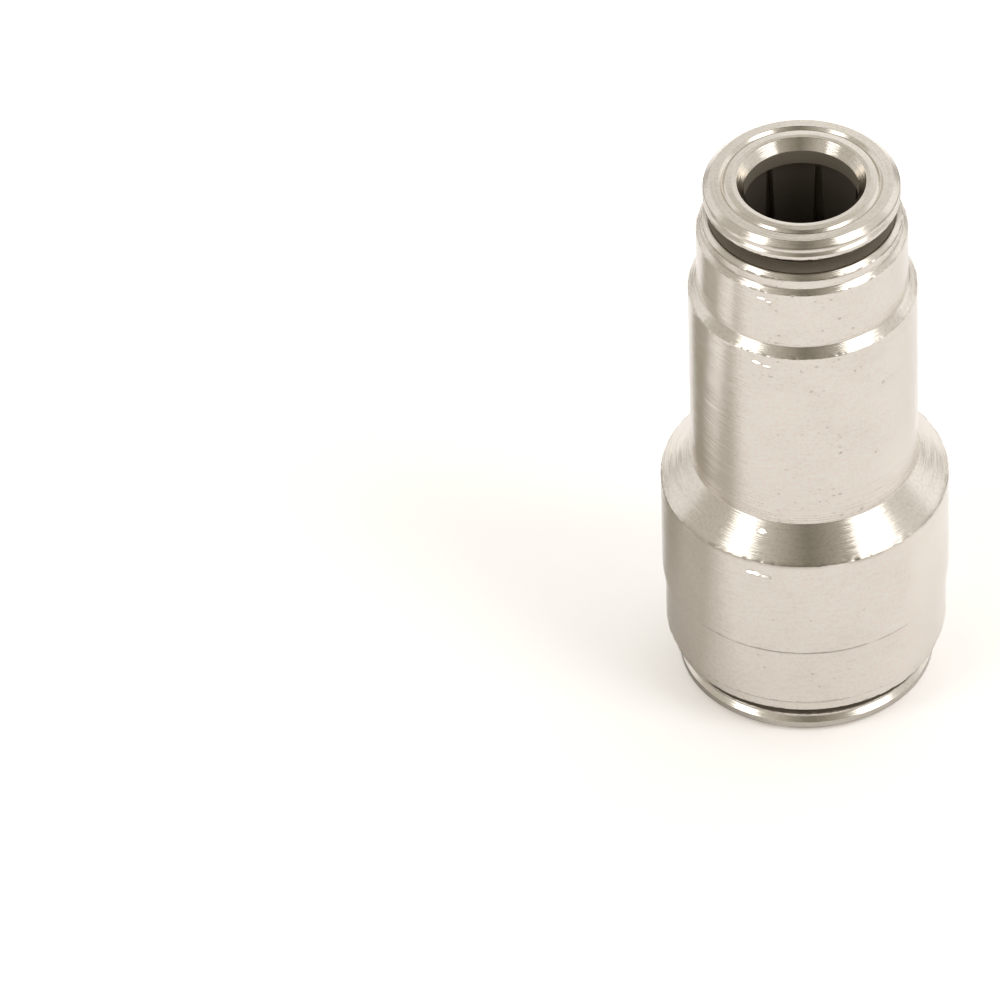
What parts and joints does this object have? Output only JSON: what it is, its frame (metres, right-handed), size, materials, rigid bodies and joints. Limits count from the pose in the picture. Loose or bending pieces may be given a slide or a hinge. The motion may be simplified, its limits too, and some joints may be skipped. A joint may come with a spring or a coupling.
{
  "type": "reducing hose connector",
  "caption": "Straight push-in connector that joins a small tube to a larger one, with a slotted release collet and an O-ring at each end.",
  "frame": {"origin": "centre of the large collet's face, which the connector stands on", "axes": "+Z along the fitting's axis, from the large end up to the small end"},
  "size_m": [0.0164, 0.0164, 0.0355],
  "materials": {
    "plated_body": "turned brass, nickel plated, fine turning marks",
    "plated_collet": "turned and slotted brass, nickel plated",
    "seal_rubber": "smooth black rubber"
  },
  "bodies": {
    "body": {"body": "plated_body", "small_o_ring": "seal_rubber", "large_o_ring": "seal_rubber"},
    "small_collet": {"small_collet": "plated_collet"},
    "large_collet": {"large_collet": "plated_collet"}
  },
  "joints": [
    {"name": "small_collet_slide", "type": "slide", "parent": "body", "child": "small_collet", "axis": [0, 0, -1], "range_m": [0, 0.00068]},
    {"name": "large_collet_slide", "type": "slide", "parent": "body", "child": "large_collet", "axis": [0, 0, -1], "range_m": [0, 0.00068]}
  ]
}
